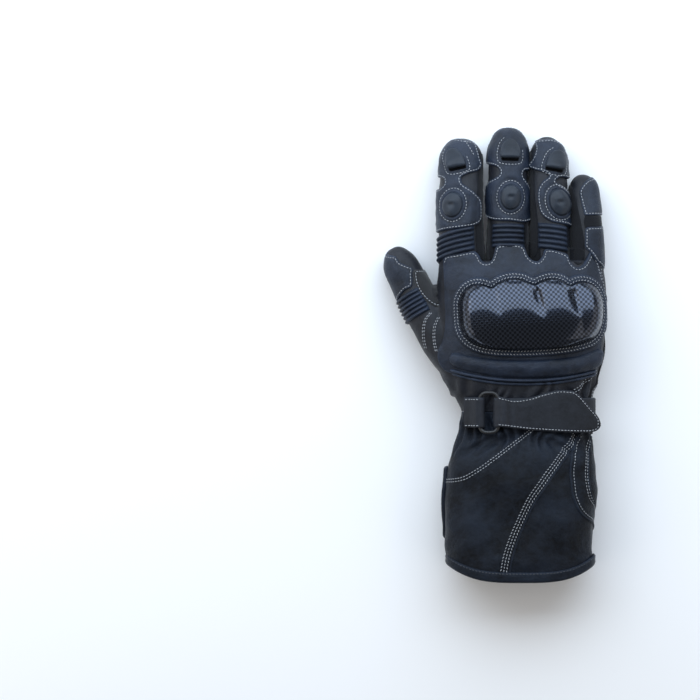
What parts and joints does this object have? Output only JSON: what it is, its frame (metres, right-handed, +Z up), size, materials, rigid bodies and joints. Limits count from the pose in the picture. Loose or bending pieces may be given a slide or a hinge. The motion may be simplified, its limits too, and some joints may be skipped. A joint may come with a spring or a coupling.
{
  "type": "leather racing glove",
  "caption": "Right-hand gauntlet glove of black leather with a moulded knuckle guard, padded fingers, a ring-buckled wrist strap and a flapped cuff.",
  "frame": {"origin": "on the surface the glove lies on, under the middle of the cuff's closing flap", "axes": "+Y from the hem to the fingertips, +X towards the little finger, +Z up out of the back of the hand, the palm lying down"},
  "size_m": [0.1477, 0.2989, 0.0545],
  "materials": {
    "leather": "satin",
    "panel_leather": "satin",
    "suede": "matte",
    "stretch_fabric": "matte",
    "soft_armour": "satin",
    "guard": "gloss",
    "thread": "matte",
    "buckle": "satin"
  },
  "bodies": {
    "root": {"cuff_shell": "leather", "hand_shell": "leather", "index_sleeve": "leather", "middle_sleeve": "leather", "ring_sleeve": "leather", "little_sleeve": "leather", "thumb_sleeve": "leather", "palm_pad_large": "leather", "palm_pad_small": "leather", "cuff_flap": "leather", "hem_binding": "panel_leather", "back_panel": "panel_leather", "knuckle_frame": "panel_leather", "back_roll": "panel_leather", "wrist_piping_upper": "panel_leather", "wrist_piping_lower": "panel_leather", "index_back_panel": "panel_leather", "middle_back_panel": "panel_leather", "ring_back_panel": "panel_leather", "index_ribs": "panel_leather", "middle_ribs": "panel_leather", "ring_ribs": "panel_leather", "little_tip_panel": "panel_leather", "little_root_panel": "panel_leather", "thumb_tip_panel": "panel_leather", "thumb_ribs": "panel_leather", "wrist_strap": "panel_leather", "strap_anchor": "panel_leather", "little_side_panel": "panel_leather", "cuff_side_panel": "panel_leather", "thumb_suede_panel": "suede", "strap_base": "suede", "palm_heel_patch": "suede", "palm_grip_patch": "suede", "index_gusset_outer": "stretch_fabric", "middle_gusset_inner": "stretch_fabric", "middle_gusset_outer": "stretch_fabric", "ring_gusset_inner": "stretch_fabric", "ring_gusset_outer": "stretch_fabric", "little_gusset_inner": "stretch_fabric", "index_joint_pad": "soft_armour", "middle_joint_pad": "soft_armour", "ring_joint_pad": "soft_armour", "index_vent_hood": "soft_armour", "middle_vent_hood": "soft_armour", "ring_vent_hood": "soft_armour", "knuckle_guard": "guard", "strap_ring": "buckle"}
  },
  "joints": []
}
